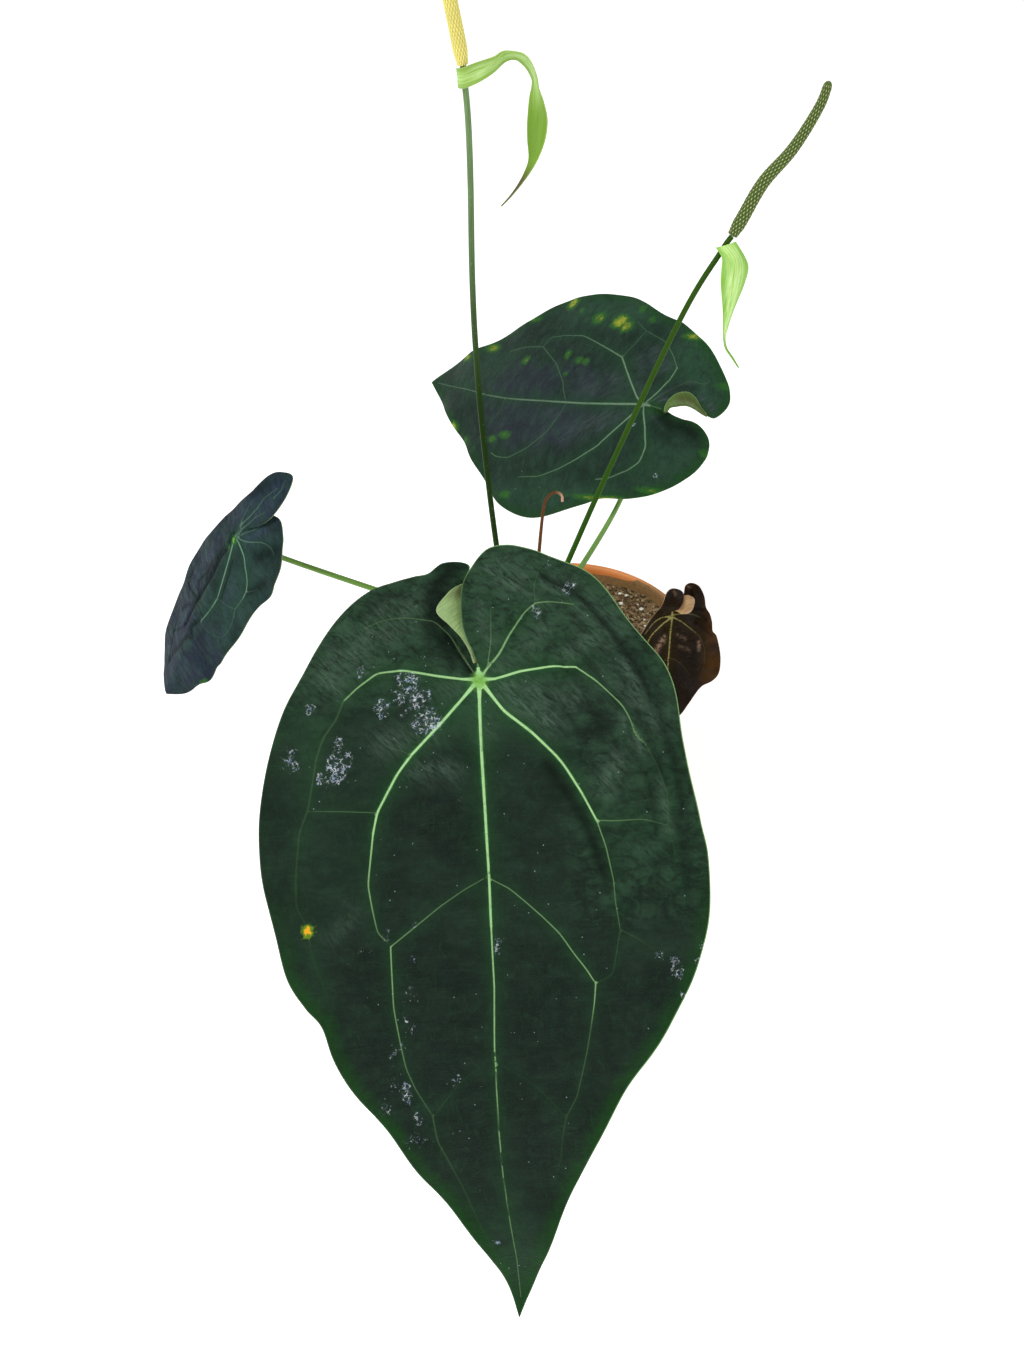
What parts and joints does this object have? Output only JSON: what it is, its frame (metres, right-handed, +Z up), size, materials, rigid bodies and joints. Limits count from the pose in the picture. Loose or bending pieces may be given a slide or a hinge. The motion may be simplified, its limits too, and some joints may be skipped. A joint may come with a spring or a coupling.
{
  "type": "potted anthurium",
  "caption": "Velvet-leaved anthurium in a plain plastic pot: heart-shaped leaves with pale veins on arched stalks, and thin upright stalks with a narrow spathe and a spadix.",
  "frame": {"origin": "middle of the pot's underside, on the surface that the pot stands on", "axes": "+Z is up along the pot's axis; the largest leaf hangs towards -Y"},
  "size_m": [0.3375, 0.5674, 0.5081],
  "materials": {
    "pot_plastic": "satin moulded plastic",
    "potting_mix": "loose bark and peat mix",
    "crown_stem": "rough plant tissue",
    "leaf_velvet": "velvety leaf",
    "leaf_bronze": "glossy young leaf",
    "petiole_green": "smooth plant tissue",
    "sprout_red_brown": "smooth plant tissue",
    "peduncle_green": "smooth plant tissue",
    "spathe_green": "waxy bract",
    "spadix_yellow": "beaded floret surface",
    "spadix_green": "beaded floret surface"
  },
  "bodies": {
    "root": {"pot": "pot_plastic", "soil": "potting_mix", "crown": "crown_stem", "leaf_front_blade": "leaf_velvet", "leaf_front_petiole": "petiole_green", "leaf_rear_blade": "leaf_velvet", "leaf_rear_petiole": "petiole_green", "leaf_left_blade": "leaf_velvet", "leaf_left_petiole": "petiole_green", "leaf_young_blade": "leaf_bronze", "leaf_young_petiole": "petiole_green", "sprout": "sprout_red_brown", "flower_left_peduncle": "peduncle_green", "flower_left_spathe": "spathe_green", "flower_left_spadix": "spadix_yellow", "flower_right_peduncle": "peduncle_green", "flower_right_spathe": "spathe_green", "flower_right_spadix": "spadix_green"}
  },
  "joints": []
}
